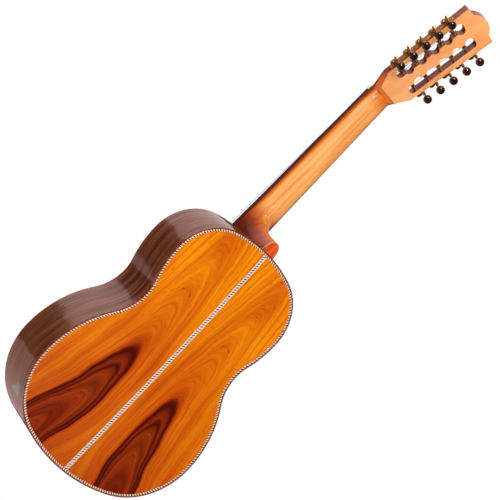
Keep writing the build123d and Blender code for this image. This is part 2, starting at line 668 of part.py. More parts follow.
def build_tuner(number):
    """Roller with gear and screw, worm on its spindle, and the button."""
    u = tuner_u(number)
    gear_in = WORM_OUT - GEAR_T / 2
    gear_out = WORM_OUT + GEAR_T / 2
    inner_end = -(side_half_width(u) - SLOT_IN) / cos(radians(SIDE_ANGLE)) - ROLLER_IN_WEB
    roller = rod(ROLLER_R, inner_end, gear_in)
    string_at = -(side_half_width(u) - (SLOT_IN + SLOT_OUT) / 2)
    roller = roller - Pos(string_at, 0, 0) * Cylinder(STRING_HOLE_R, 4 * ROLLER_R)
    face = Plane(origin=(gear_in, 0, 0), x_dir=(0, 1, 0), z_dir=(1, 0, 0))
    gear = extrude(face * gear_profile(), amount=GEAR_T)
    screw = rod(GEAR_SCREW_R, gear_out, gear_out + GEAR_SCREW_H)
    nick = Pos(gear_out + GEAR_SCREW_H, 0, 0) * Box(GEAR_SCREW_H, 0.7, 3 * GEAR_SCREW_R)
    screw = screw - nick

    thread_l = WORM_TURNS * WORM_PITCH
    disc = Pos(THREAD_RISE, 0) * Circle(WORM_MEAN_R)
    thread = Solid.extrude_linear_with_rotation(
        Pos(0, 0, -thread_l / 2) * disc.face(), (0, 0, -thread_l / 2), (0, 0, thread_l), WORM_TURNS * 360
    )
    lug_far = thread_l / 2 + LUG_GAP + LUG_T
    button_low = BUTTON_N + HEAD_T / 2 - BUTTON_H / 2
    stem_from = lug_far + LUG_GAP
    front_end = Pos(0, 0, -(lug_far + 0.8 + thread_l / 2) / 2) * Cylinder(SPINDLE_R, lug_far + 0.8 - thread_l / 2)
    back_end = Pos(0, 0, (stem_from + thread_l / 2) / 2) * Cylinder(SPINDLE_R, stem_from - thread_l / 2)
    stem = Pos(0, 0, (stem_from + button_low) / 2) * Cylinder(STEM_R, button_low - stem_from)
    collar = Pos(0, 0, stem_from + 0.8) * Cylinder(STEM_R + 0.7, 1.6)
    worm = Pos(WORM_OUT, WORM_ALONG, 0) * (thread + front_end + back_end + stem + collar)

    half_h = BUTTON_H / 2
    profile = make_face(
        [
            Line((0, -half_h), (STEM_R + 0.9, -half_h)),
            Spline(
                (STEM_R + 0.9, -half_h), (BUTTON_R, 0), (0, half_h),
                tangents=[(1, 0.15), (-1, 0)],
            ),
            Line((0, half_h), (0, -half_h)),
        ]
    )
    knob = revolve(Plane.XZ * profile, Axis.Z)
    knob = Pos(WORM_OUT, WORM_ALONG, button_low + half_h) * knob
    return roller, gear, screw, worm, knob


def plate_ends():
    """Where the mounting plate starts and stops up the head."""
    return tuner_u(0) - PLATE_END, tuner_u(TUNERS_A_SIDE - 1) + TUNER_PITCH - PLATE_END


def screw_places():
    """Places of the mounting screws up the head."""
    gap = (WORM_ALONG + LUG_R + TUNER_PITCH - GEAR_TIP_R) / 2
    places = [tuner_u(0) - PLATE_END + SCREW_HEAD_R + 0.4]
    for number in range(TUNERS_A_SIDE):
        places.append(min(tuner_u(number) + gap, plate_ends()[1] - SCREW_HEAD_R - 0.2))
    return places


def build_side_hardware(wood):
    """One mounting plate with bearing lugs, its screws, and their holes in the wood."""
    first = tuner_u(0)
    frame = side_plane_at(first)
    low, high = plate_ends()
    cosine = cos(radians(SIDE_ANGLE))
    low_y = (low - first) / cosine
    high_y = (high - first) / cosine
    blank = Pos(PLATE_T / 2, (low_y + high_y) / 2, 0) * Box(PLATE_T, high_y - low_y, PLATE_H)
    plate = fillet(blank.edges().filter_by(Axis.X), PLATE_H / 3)
    thread_l = WORM_TURNS * WORM_PITCH
    lug_near = thread_l / 2 + LUG_GAP
    drill = []
    for number in range(TUNERS_A_SIDE):
        y = (tuner_u(number) - first) / cosine
        axle = Pos(0, y, 0) * rod(ROLLER_R + RUN_GAP, -EAR_W, 2 * PLATE_T)
        for way in (-1, 1):
            z = way * (lug_near + LUG_T / 2)
            web = Pos(WORM_OUT / 2, y + WORM_ALONG, z) * Box(WORM_OUT, 2 * LUG_R, LUG_T)
            eye = Pos(WORM_OUT, y + WORM_ALONG, z) * Cylinder(LUG_R, LUG_T)
            plate = plate + web + eye
        bearing = Pos(WORM_OUT, y + WORM_ALONG, 0) * Cylinder(SPINDLE_R + RUN_GAP, 3 * PLATE_H)
        plate = plate - bearing - axle
        reach = (side_half_width(tuner_u(number)) - SLOT_IN) / cosine + ROLLER_IN_WEB + RUN_GAP
        drill.append(Pos(0, y, 0) * rod(ROLLER_R + RUN_GAP, -reach, 1))
    screws = []
    for place in screw_places():
        y = (place - first) / cosine
        shank = Pos(0, y, 0) * rod(SCREW_R, -SCREW_L + PLATE_T, PLATE_T)
        head = Pos(0, y, 0) * rod(SCREW_HEAD_R, PLATE_T, PLATE_T + SCREW_HEAD_H)
        nick = Pos(PLATE_T + SCREW_HEAD_H, y, 0) * Box(SCREW_HEAD_H, 0.6, 3 * SCREW_HEAD_R)
        screws.append(shank + head - nick)
        plate = plate - shank
        drill.append(shank)
    cutter = frame * Compound(children=solids_of(drill))
    placed = frame * plate
    placed_screws = [frame * screw for screw in screws]
    for solid in cutter.solids():
        wood = wood - solid - mirrored(solid)
    write(placed, "tuner_plate_right")
    write(mirrored(placed), "tuner_plate_left")
    both = placed_screws + [mirrored(screw) for screw in placed_screws]
    write(Compound(children=solids_of(both)), "plate_screws")
    return wood


def build_tuners():
    """Ten machines: five on the right of the head and their mirror images on the left."""
    for number in range(TUNERS_A_SIDE):
        frame = side_plane_at(tuner_u(number))
        roller, gear, screw, worm, knob = [frame * piece for piece in build_tuner(number)]
        for side, turn in (("right", lambda piece: piece), ("left", mirrored)):
            label = f"tuner_{side}_{number + 1}"
            parts = solids_of([turn(roller), turn(gear), turn(screw)])
            write(Compound(children=parts), f"{label}_roller")
            write(turn(worm), f"{label}_worm")
            write(turn(knob), f"{label}_button")


# ---------------------------------------------------------------- strings
# Sideways place on each roller, first roller first, for strings taken from the outside in
ROLLER_STRING_X = (21.0, 19.5, 17.0, 18.5, 19.0)


def string_path(course, side):
    """Corner points of one string from the back of the bridge to its roller."""
    hand = 1 if (course, side) > (0, 0) else -1
    order = sorted(abs(string_x(c, s, True)) for c, s in STRINGS if ((c, s) > (0, 0)) == (hand == 1))
    number = order[::-1].index(abs(string_x(course, side, True)))
    start_x = string_x(course, side, False)
    nut_x = string_x(course, side, True)
    points = [
        Vector(start_x, TIE_Y, BRIDGE_LOW_Z - 2),
        Vector(start_x, TIE_Y, SADDLE_Z - SADDLE_T / 2 - 3),
        Vector(start_x, SADDLE_STRING_Y, SADDLE_Z),
        Vector(nut_x, NUT_STRING_Y, NUT_Z),
    ]
    slant = radians(SIDE_ANGLE)
    roller_u = tuner_u(number) + (side_half_width(tuner_u(number)) - ROLLER_STRING_X[number]) * sin(slant)
    aim_n = -HEAD_T / 2 - ROLLER_R - STRING_R - STRING_STOP
    points.append(Vector(*head_point(hand * ROLLER_STRING_X[number], roller_u, aim_n)))
    return points


def build_strings():
    """Ten steel strings, drawn straight between bridge, saddle, nut and roller."""
    strings = []
    for course, side in STRINGS:
        points = string_path(course, side)
        string = None
        for start, end in zip(points, points[1:]):
            run = end - start
            span = Plane(origin=start, z_dir=run) * (Pos(0, 0, run.length / 2) * Cylinder(STRING_R, run.length))
            string = span if string is None else string + span + Pos(*start) * Sphere(STRING_R)
        strings.append(string)
    strings = Compound(children=solids_of(strings))
    write(strings, "strings")
    return strings


# ---------------------------------------------------------------- write every piece
os.makedirs("parts", exist_ok=True)
build_box()
build_inside()
strings = build_strings()
build_head_trim(strings)
write(build_side_hardware(build_neck()), "neck")
build_fretboard(strings)
build_bridge(strings)
build_tuners()
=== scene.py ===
import json
from math import cos, pi, radians, sin

import bmesh
import bpy
from mathutils import Matrix, Quaternion, Vector


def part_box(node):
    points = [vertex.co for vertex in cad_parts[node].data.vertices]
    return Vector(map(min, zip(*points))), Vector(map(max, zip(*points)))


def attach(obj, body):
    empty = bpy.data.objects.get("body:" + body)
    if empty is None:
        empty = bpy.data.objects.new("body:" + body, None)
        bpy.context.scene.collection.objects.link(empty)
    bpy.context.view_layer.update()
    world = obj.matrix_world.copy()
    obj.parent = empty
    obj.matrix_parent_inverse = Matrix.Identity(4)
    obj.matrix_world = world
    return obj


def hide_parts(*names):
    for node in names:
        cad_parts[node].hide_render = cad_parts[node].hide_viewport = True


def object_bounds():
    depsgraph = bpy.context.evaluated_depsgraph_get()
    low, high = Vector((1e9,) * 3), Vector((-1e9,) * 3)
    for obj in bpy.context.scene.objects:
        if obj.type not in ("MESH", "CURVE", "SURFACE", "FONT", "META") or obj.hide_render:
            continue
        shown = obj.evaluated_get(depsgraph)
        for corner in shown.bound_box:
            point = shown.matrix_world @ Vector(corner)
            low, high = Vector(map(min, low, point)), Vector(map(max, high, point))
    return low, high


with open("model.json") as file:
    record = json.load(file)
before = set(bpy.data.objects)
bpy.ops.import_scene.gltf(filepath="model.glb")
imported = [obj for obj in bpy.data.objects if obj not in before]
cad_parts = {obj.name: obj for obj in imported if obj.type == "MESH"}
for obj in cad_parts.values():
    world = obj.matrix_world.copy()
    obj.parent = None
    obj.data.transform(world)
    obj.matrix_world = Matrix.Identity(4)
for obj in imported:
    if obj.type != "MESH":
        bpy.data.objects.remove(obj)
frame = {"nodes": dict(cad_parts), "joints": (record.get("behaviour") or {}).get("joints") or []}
nodes = frame["nodes"]
cad_box = [list(corner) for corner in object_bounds()]


# ---- Camera --------------------------------------------------------------------------------
# It looks up a little at the back and the treble side, rolled so the neck runs to the top right.
EYE = Vector((1.15925, 1.91553, -0.42285))
LOOKS_ALONG = Vector((-0.52339, -0.85103, 0.04246))
ROLL = 44.0
FOCAL_MM = 104.19
SENSOR_MM = 36.0

lens = bpy.data.cameras.new("camera")
lens.lens = FOCAL_MM
lens.sensor_width = SENSOR_MM
lens.clip_end = 50.0
camera = bpy.data.objects.new("camera", lens)
bpy.context.scene.collection.objects.link(camera)
turn = LOOKS_ALONG.to_track_quat("-Z", "Y") @ Quaternion((0, 0, 1), radians(ROLL))
camera.matrix_world = Matrix.Translation(EYE) @ turn.to_matrix().to_4x4()
bpy.context.scene.camera = camera
bpy.context.scene.view_settings.view_transform = "Standard"


# ---- Studio --------------------------------------------------------------------------------
# A white paper sweep behind the instrument, a dim room on the camera's side, soft box lamps,
# one small bare bulb, and a pale floor under the hung instrument.
def linear(code):
    """An sRGB hex colour as linear RGBA."""
    parts = [int(code[i : i + 2], 16) / 255 for i in (1, 3, 5)]
    curve = (c / 12.92 if c <= 0.04045 else ((c + 0.055) / 1.055) ** 2.4 for c in parts)
    return (*curve, 1.0)


def add(tree, kind, inputs=None, stops=(), **settings):
    """Adds one node: its settings, its inputs and a ramp's stops.

    An input is a value, an output, or a node, which stands for its first output in use.
    """
    made = tree.nodes.new("ShaderNode" + kind)
    for name, value in settings.items():
        setattr(made, name, value)
    for name, value in (inputs or {}).items():
        if isinstance(value, bpy.types.Node):
            value = next(socket for socket in value.outputs if socket.enabled)
        if isinstance(value, bpy.types.NodeSocket):
            tree.links.new(value, made.inputs[name])
        else:
            made.inputs[name].default_value = value
    for number, (place, code) in enumerate(stops):
        if number == 0:
            stop = made.color_ramp.elements[0]
            stop.position = place
            made.color_ramp.elements.remove(made.color_ramp.elements[1])
        else:
            stop = made.color_ramp.elements.new(place)
        stop.color = linear(code)
    return made


world = bpy.data.worlds.new("studio")
bpy.context.scene.world = world
world.use_nodes = True
sky = world.node_tree
sky.nodes.clear()
path = add(sky, "LightPath")
outwards = add(sky, "TexCoord").outputs["Generated"]
way = add(sky, "SeparateXYZ", {0: outwards})
# What gloss sees: a white sweep straight behind the instrument, crossed by a dark doorway a
# little above level, in a room that falls off to dark towards the camera.
front_to_back = add(sky, "Math", {0: way.outputs[1], 1: 0.5, 2: 0.5}, operation="MULTIPLY_ADD")
room = add(sky, "ValToRGB", {0: front_to_back}, stops=(
    (0.0, "#f4dcdc"), (0.30, "#e8cccc"), (0.50, "#3c302e"), (0.64, "#0a0808")))
ragged = add(sky, "TexNoise", {"Vector": outwards, "Scale": 6.0, "Detail": 2.0})
height = add(sky, "Math", {0: way.outputs[2], 1: 0.45})
level = add(sky, "Math", {0: ragged, 1: 0.2, 2: height}, operation="MULTIPLY_ADD")
doorway = add(sky, "ValToRGB", {0: level}, stops=(
    (0.26, "#d8c0b8"), (0.30, "#1a1212"), (0.72, "#1a1212"), (0.78, "#ffffff")))
seen_room = add(sky, "Mix", {0: 1.0, 6: room, 7: doorway}, data_type="RGBA", blend_type="MULTIPLY")
mirror_light = add(sky, "Background", {"Color": seen_room, "Strength": 0.9})
soft_light = add(sky, "Background", {"Color": linear("#fffaf4"), "Strength": 0.42})
seen_white = add(sky, "Background", {"Color": (1, 1, 1, 1), "Strength": 1.0})
seen = add(sky, "Math", {0: path.outputs["Is Camera Ray"], 1: path.outputs["Is Transmission Ray"]},
           operation="MAXIMUM")
lit = add(sky, "MixShader", {0: path.outputs["Is Glossy Ray"], 1: soft_light, 2: mirror_light})
sweep = add(sky, "MixShader", {0: seen, 1: lit, 2: seen_white})
add(sky, "OutputWorld", {"Surface": sweep})

BODY_MIDDLE = Vector((0.0, 0.04, -0.38))
# name, place from the body's middle, side of the square lamp, watts, whether gloss shows it
LAMPS = (
    ("key_box", (1.15, 1.35, 1.25), 1.1, 36.0, True),
    ("fill_box", (-0.6, 2.1, -1.0), 1.2, 18.0, False),
    ("front_box", (0.7, -1.9, 0.8), 1.2, 18.0, False),
)
for name, place, size, watts, in_gloss in LAMPS:
    lamp = bpy.data.lights.new(name, "AREA")
    lamp.size = size
    lamp.energy = watts
    box = bpy.data.objects.new(name, lamp)
    bpy.context.scene.collection.objects.link(box)
    box.visible_glossy = in_gloss
    facing = (-Vector(place)).to_track_quat("-Z", "Y").to_matrix().to_4x4()
    box.matrix_world = Matrix.Translation(BODY_MIDDLE + Vector(place)) @ facing

BULB_AT = (0.02, 1.9, -0.11)
bulb = bpy.data.lights.new("bare_bulb", "POINT")
bulb.shadow_soft_size = 0.02
bulb.energy = 6.0
bulb_object = bpy.data.objects.new("bare_bulb", bulb)
bpy.context.scene.collection.objects.link(bulb_object)
bulb_object.matrix_world = Matrix.Translation(BULB_AT)

FLOOR_R = 0.62
FLOOR_DROP = 0.30           # the body hangs clear of the floor
FLOOR_GLOW = 0.55           # share of plain white that the camera sees mixed into the paint
floor_mesh = bmesh.new()
bmesh.ops.create_circle(
    floor_mesh, cap_ends=True, segments=96, radius=FLOOR_R,
    matrix=Matrix.Translation((0, BODY_MIDDLE.y, cad_box[0][2] - FLOOR_DROP)))
floor_data = bpy.data.meshes.new("floor")
floor_mesh.to_mesh(floor_data)
floor_mesh.free()
floor = bpy.data.objects.new("floor", floor_data)
bpy.context.scene.collection.objects.link(floor)
painted = bpy.data.materials.new("matt_floor_paint")
painted.use_nodes = True
tree = painted.node_tree
tree.nodes.clear()
paint = add(tree, "BsdfDiffuse", {"Color": linear("#dedcda")})
glow = add(tree, "Emission", {"Color": (1, 1, 1, 1), "Strength": 1.0})
share = add(tree, "Math", {0: add(tree, "LightPath").outputs["Is Camera Ray"], 1: FLOOR_GLOW},
            operation="MULTIPLY")
add(tree, "OutputMaterial", {"Surface": add(tree, "MixShader", {0: share, 1: paint, 2: glow})})
floor_data.materials.append(painted)


# ---- Back plates ---------------------------------------------------------------------------
# Two bookmatched plates of a bright tropical hardwood, opened like a book about the seam, so
# each dark-edged cathedral has its mirror image. Sanded flat, then buffed polyester lacquer.
def bare_material(name):
    """A new material without nodes, and its tree."""
    made = bpy.data.materials.new(name)
    made.use_nodes = True
    made.node_tree.nodes.clear()
    return made, made.node_tree


def dress(material, *names):
    """Puts a material on CAD nodes in place of the plain one."""
    for name in names:
        nodes[name].data.materials.clear()
        nodes[name].data.materials.append(material)


# Buffed lacquer over wood: a clear mirror coat on a softly shining ground.
LACQUER = {"Roughness": 0.35, "Specular IOR Level": 0.3, "Coat Weight": 0.8, "Coat Roughness": 0.03}

TAIL_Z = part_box("back_binding")[0].z
TONGUE_TIP = 0.205          # height of the dark tongue's tip above the tail
TONGUE_OUT = 0.060          # how far its middle lies from the seam
TONGUE_BEND = 1.15          # how its middle drifts outwards towards the tail
RING_LEAN = 0.0089          # how blunt the cathedral arches are
RING_LOW = -0.030           # height at which the arches would run parallel
BOOK_SLIP = 0.022           # the second leaf starts a little lower in the log
LEAF_APART = 0.03           # its growth rings wander a little differently too
WANDER_OUT = 0.016          # how far growth rings wander across the board, and along it
WANDER_UP = 0.036

lacquered_back, tree = bare_material("lacquered_figured_hardwood")
where = add(tree, "SeparateXYZ", {0: add(tree, "TexCoord").outputs["Object"]})
right_leaf = add(tree, "Math", {0: where.outputs[0], 1: 0.0}, operation="LESS_THAN")
out = add(tree, "Math", {0: where.outputs[0]}, operation="ABSOLUTE")
above_tail = add(tree, "Math", {0: where.outputs[2], 1: TAIL_Z}, operation="SUBTRACT")
up = add(tree, "Math", {0: right_leaf, 1: BOOK_SLIP, 2: above_tail}, operation="MULTIPLY_ADD")
aside = add(tree, "Math", {0: right_leaf, 1: LEAF_APART}, operation="MULTIPLY")
leaf = add(tree, "CombineXYZ", {0: out, 1: aside, 2: up})
# slow wander of the growth rings, in patches some 90 mm long
wander = add(tree, "TexNoise", {"Vector": leaf, "Scale": 11.0, "Detail": 2.0})
bend = add(tree, "SeparateXYZ", {0: wander.outputs["Color"]})
bend_out = add(tree, "Math", {0: bend.outputs[0], 1: 0.5}, operation="SUBTRACT")
bend_up = add(tree, "Math", {0: bend.outputs[1], 1: 0.5}, operation="SUBTRACT")
bent_out = add(tree, "Math", {0: bend_out, 1: WANDER_OUT, 2: out}, operation="MULTIPLY_ADD")
bent_up = add(tree, "Math", {0: bend_up, 1: WANDER_UP, 2: up}, operation="MULTIPLY_ADD")
# the tongue's middle curves outwards below its tip, and rings spread round it as they rise
to_tip = add(tree, "Math", {0: TONGUE_TIP, 1: bent_up}, operation="SUBTRACT")
below_tip = add(tree, "Math", {0: to_tip, 1: 0.0}, operation="MAXIMUM")
below_2 = add(tree, "Math", {0: below_tip, 1: 2.0}, operation="POWER")
middle = add(tree, "Math", {0: below_2, 1: TONGUE_BEND, 2: TONGUE_OUT}, operation="MULTIPLY_ADD")
off_middle = add(tree, "Math", {0: bent_out, 1: middle}, operation="SUBTRACT")
off_2 = add(tree, "Math", {0: off_middle, 1: 2.0}, operation="POWER")
over_low = add(tree, "Math", {0: bent_up, 1: RING_LOW}, operation="SUBTRACT")
rising = add(tree, "Math", {0: over_low, 1: 0.0}, operation="MAXIMUM")
ring_2 = add(tree, "Math", {0: rising, 1: RING_LEAN, 2: off_2}, operation="MULTIPLY_ADD")
ring = add(tree, "Math", {0: ring_2}, operation="SQRT")
# broad bands of colour: brown heart, two dark lines, then orange sapwood-side grain
ring_share = add(tree, "Math", {0: ring, 1: 8.0}, operation="MULTIPLY")
band = add(tree, "ValToRGB", {0: ring_share}, stops=(
    (0.14, "#7c2a02"), (0.20, "#9a4002"), (0.24, "#863202"), (0.29, "#9a4404"), (0.322, "#8e3a02"),
    (0.334, "#441002"), (0.342, "#843002"), (0.352, "#762602"), (0.361, "#300602"),
    (0.369, "#641c02"), (0.376, "#a84402"), (0.392, "#d47202"), (0.46, "#dc7e02"),
    (0.50, "#d47404"), (0.58, "#ea9204"), (0.72, "#e48a02"), (0.86, "#ec9404")))
# fine streaks that follow the rings, 1.5 to 4 mm apart, fading in and out along the board
streak_at = add(tree, "CombineXYZ", {
    0: add(tree, "Math", {0: ring, 1: 520.0}, operation="MULTIPLY"),
    1: add(tree, "Math", {0: up, 1: 6.0}, operation="MULTIPLY"),
    2: add(tree, "Math", {0: out, 1: 4.0}, operation="MULTIPLY")})
streak = add(tree, "TexNoise", {
    "Vector": streak_at, "Scale": 1.0, "Detail": 4.0, "Roughness": 0.62})
streaks = add(tree, "ValToRGB", {0: streak}, stops=(
    (0.34, "#6a3004"), (0.44, "#b07420"), (0.52, "#cfb070"), (0.62, "#f4dc90")))
grained = add(tree, "Mix", {0: 0.52, 6: band, 7: streaks}, data_type="RGBA", blend_type="OVERLAY")
# broad warm and cool patches left by the cut, which also stand in for the wood's shimmering figure
# as painted sheen, and a redder tail
sheen_patch = add(tree, "TexNoise", {"Vector": leaf, "Scale": 7.0, "Detail": 1.0})
patches_and_painted_sheen = add(tree, "ValToRGB", {0: sheen_patch}, stops=((0.3, "#dcb490"), (0.7, "#ffffff")))
with_patches_and_painted_sheen = add(tree, "Mix", {0: 0.55, 6: grained, 7: patches_and_painted_sheen},
             data_type="RGBA", blend_type="MULTIPLY")
height_share = add(tree, "Math", {0: up, 1: 2.2}, operation="MULTIPLY")
tail_red = add(tree, "ValToRGB", {0: height_share}, stops=(
    (0.0, "#cc9070"), (0.45, "#f0d8c0"), (0.8, "#ffffff")))
reddened = add(tree, "Mix", {0: 0.8, 6: with_patches_and_painted_sheen, 7: tail_red},
               data_type="RGBA", blend_type="MULTIPLY")
# pores: short dark dashes a few tenths of a millimetre wide, drawn twice as coarse to show
pore_at = add(tree, "CombineXYZ", {
    0: add(tree, "Math", {0: ring, 1: 1500.0}, operation="MULTIPLY"),
    1: add(tree, "Math", {0: up, 1: 90.0}, operation="MULTIPLY")})
pore = add(tree, "TexNoise", {"Vector": pore_at, "Scale": 1.0, "Detail": 1.0})
pores = add(tree, "ValToRGB", {0: pore}, stops=((0.26, "#8a4a20"), (0.36, "#ffffff")))
wood = add(tree, "Mix", {0: 0.6, 6: reddened, 7: pores}, data_type="RGBA", blend_type="MULTIPLY")
# under the coat this oily wood hardly shines by itself, so its orange stays deep
back_shine = {**LACQUER, "Specular IOR Level": 0.08, "Base Color": wood}
add(tree, "OutputMaterial", {"Surface": add(tree, "BsdfPrincipled", back_shine)})
dress(lacquered_back, "back_left", "back_right")


# ---- Rope inlay ----------------------------------------------------------------------------
# The strip over the seam and the ring inside the edge are sliced from one rope-pattern stick:
# slanted black and dark red dashes in cream maple, between two fine light lines.
ROPE_PITCH = 0.0088         # one black and one red dash
ROPE_SLANT = 0.55           # how far a dash leans along the stick across its width


def rope_colour(tree, along, side):
    """Colours a rope stick from how far along it a point is, and how far across, in metres."""
    slanted = add(tree, "Math", {0: side, 1: ROPE_SLANT, 2: along}, operation="MULTIPLY_ADD")
    turns = add(tree, "Math", {0: slanted, 1: ROPE_PITCH}, operation="DIVIDE")
    dash = add(tree, "ValToRGB", {0: add(tree, "Math", {0: turns}, operation="FRACT")}, stops=(
        (0.0, "#f4d8c4"), (0.14, "#f4d8c4"), (0.18, "#1a1210"), (0.36, "#1a1210"),
        (0.40, "#f2d4c0"), (0.64, "#f4d8c4"), (0.68, "#8a2c1c"), (0.86, "#8a2c1c"),
        (0.90, "#f4d8c4")))
    fibre = add(tree, "TexNoise", {
        "Vector": add(tree, "TexCoord").outputs["Object"], "Scale": 900.0, "Detail": 2.0})
    tint = add(tree, "ValToRGB", {0: fibre}, stops=((0.35, "#e0c4ac"), (0.6, "#ffffff")))
    return add(tree, "Mix", {0: 0.5, 6: dash, 7: tint}, data_type="RGBA", blend_type="MULTIPLY")


strip_inlay, tree = bare_material("lacquered_maple_rope_strip")
where = add(tree, "SeparateXYZ", {0: add(tree, "TexCoord").outputs["Object"]})
rope = rope_colour(tree, where.outputs[2], where.outputs[0])
out = add(tree, "Math", {0: where.outputs[0]}, operation="ABSOLUTE")
edge = add(tree, "Math", {0: out, 1: 250.0}, operation="MULTIPLY")
lines = add(tree, "ValToRGB", {0: edge}, stops=((0.50, "#000000"), (0.56, "#ffffff")))
line_wood = add(tree, "ValToRGB", {0: edge}, stops=(
    (0.56, "#f8ecdc"), (0.70, "#f8ecdc"), (0.74, "#4a2a1c"), (0.80, "#4a2a1c"), (0.84, "#f8ecdc")))
strip = add(tree, "Mix", {0: lines, 6: rope, 7: line_wood}, data_type="RGBA")
add(tree, "OutputMaterial", {
    "Surface": add(tree, "BsdfPrincipled", {**LACQUER, "Base Color": strip})})
dress(strip_inlay, "back_centre_strip")


# The ring round the edge is the same stick bent to the outline, so its pattern follows an
# unrolled map: u is the distance round the edge and v the distance in from its outer side.
def longest_rim(mesh):
    """The points round the outer edge of the back-facing side of a flat ring."""
    facing = {face for face in mesh.faces if face.normal.y > 0.5}
    rim = {}
    for line in mesh.edges:
        if sum(face in facing for face in line.link_faces) == 1:
            for vert, other in (line.verts, reversed(line.verts)):
                rim.setdefault(vert, []).append(other)
    loops = []
    while rim:
        start = next(iter(rim))
        loop, here, before = [start.co.copy()], start, None
        while True:
            ahead = [vert for vert in rim.pop(here) if vert is not before and vert in rim]
            if not ahead:
                break
            before, here = here, ahead[0]
            loop.append(here.co.copy())
        loops.append(loop + loop[:1])
    return max(loops, key=lambda loop: sum((b - a).length for a, b in zip(loop, loop[1:])))


def unrolled_copy(node, name):
    """A copy of a CAD ring with its unrolled map."""
    mesh = bmesh.new()
    mesh.from_mesh(nodes[node].data)
    bmesh.ops.remove_doubles(mesh, verts=mesh.verts, dist=1e-6)
    loop = longest_rim(mesh)
    lengths = [0.0]
    for a, b in zip(loop, loop[1:]):
        lengths.append(lengths[-1] + (b - a).length)
    around = lengths[-1]
    spots = {}
    for vert in mesh.verts:
        nearest = (around, 0.0)
        for a, b, run in zip(loop, loop[1:], lengths):
            line = b - a
            flat = Vector((vert.co.x - a.x, 0, vert.co.z - a.z))
            share = min(max(flat.dot(line) / max(line.length_squared, 1e-12), 0.0), 1.0)
            off = (flat - Vector((line.x, 0, line.z)) * share).length
            if off < nearest[0]:
                nearest = (off, run + share * line.length)
        spots[vert] = nearest
    unrolled = mesh.loops.layers.uv.new("unrolled")
    for face in mesh.faces:
        runs = [spots[corner.vert][1] for corner in face.loops]
        for corner, run in zip(face.loops, runs):
            if max(runs) - min(runs) > around / 2 and run < around / 2:
                run += around
            corner[unrolled].uv = (run, spots[corner.vert][0])
    data = bpy.data.meshes.new(name)
    mesh.to_mesh(data)
    mesh.free()
    made = bpy.data.objects.new(name, data)
    bpy.context.scene.collection.objects.link(made)
    return made


ROOT = "instrument"         # the body that everything but the tuners' moving parts rides on
ring_inlay, tree = bare_material("lacquered_maple_rope_ring")
where = add(tree, "SeparateXYZ", {0: add(tree, "UVMap", uv_map="unrolled")})
rope = rope_colour(tree, where.outputs[0], where.outputs[1])
add(tree, "OutputMaterial", {
    "Surface": add(tree, "BsdfPrincipled", {**LACQUER, "Base Color": rope})})
rope_ring = unrolled_copy("back_purfling", "rope_ring")
rope_ring.data.materials.append(ring_inlay)
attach(rope_ring, ROOT)
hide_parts("back_purfling")


# ---- Sides and bindings --------------------------------------------------------------------
# Ribs of dark Indian rosewood, bent so the grain runs round the body, with thin red-brown
# wooden bindings; all under the same buffed lacquer. The head's front veneer is cut from it too.
# The ribs' stripes change across y; the veneer's run along the head, so they change across x.
for name, stripe_scale, hair_scale, dressed in (
    ("lacquered_rosewood_ribs", (6.0, 150.0, 6.0), (20.0, 900.0, 20.0),
     ("side_left", "side_right")),
    ("lacquered_rosewood_veneer", (150.0, 6.0, 6.0), (900.0, 20.0, 20.0), ("head_veneer",)),
):
    rosewood, tree = bare_material(name)
    place = add(tree, "TexCoord").outputs["Object"]
    stretched = add(tree, "Mapping", {0: place, "Scale": stripe_scale})
    stripe = add(tree, "TexNoise", {
        "Vector": stretched, "Scale": 1.0, "Detail": 5.0, "Roughness": 0.6, "Distortion": 0.4})
    stripes = add(tree, "ValToRGB", {0: stripe}, stops=(
        (0.30, "#38140a"), (0.42, "#5c2814"), (0.50, "#7a401f"), (0.60, "#8a4a2a"),
        (0.72, "#683420")))
    # pores as thin dark hairs, about a millimetre apart
    hair = add(tree, "Mapping", {0: place, "Scale": hair_scale})
    fine = add(tree, "TexNoise", {"Vector": hair, "Scale": 1.0, "Detail": 2.0})
    hairs = add(tree, "ValToRGB", {0: fine}, stops=((0.35, "#5c3a2c"), (0.5, "#ffffff")))
    wood = add(tree, "Mix", {0: 0.7, 6: stripes, 7: hairs},
               data_type="RGBA", blend_type="MULTIPLY")
    # bent wood is never quite true: slow waves, some 60 mm long, that make reflections swim
    swell = add(tree, "TexNoise", {"Vector": place, "Scale": 17.0, "Detail": 1.0})
    waves = add(tree, "Bump", {"Strength": 0.6, "Distance": 0.0035, "Height": swell})
    # the thickest coat on the instrument: dark wood with sharp, wavering mirror images on it
    add(tree, "OutputMaterial", {"Surface": add(tree, "BsdfPrincipled", {
        "Roughness": 0.4, "Specular IOR Level": 0.3, "Coat Weight": 1.0, "Coat Roughness": 0.02,
        "Base Color": wood, "Normal": waves, "Coat Normal": waves})})
    dress(rosewood, *dressed)

# Straight-grained red-brown strips, a shade lighter than the ribs.
binding_wood, tree = bare_material("lacquered_red_hardwood_binding")
grain = add(tree, "TexNoise", {
    "Vector": add(tree, "TexCoord").outputs["Object"], "Scale": 260.0, "Detail": 3.0})
tint = add(tree, "ValToRGB", {0: grain}, stops=(
    (0.3, "#4e1a0c"), (0.5, "#7e3418"), (0.7, "#984624")))
add(tree, "OutputMaterial", {
    "Surface": add(tree, "BsdfPrincipled", {**LACQUER, "Base Color": tint})})
dress(binding_wood, "back_binding", "top_binding")


# ---- Soundboard and the woods inside --------------------------------------------------------
# Straight-grained spruce front, spruce braces, and pale cedro blocks and linings inside.
# Thin satin lacquer on the front: pale cream wood with fine amber growth lines and silky patches.
spruce, tree = bare_material("lacquered_spruce")
place = add(tree, "TexCoord").outputs["Object"]
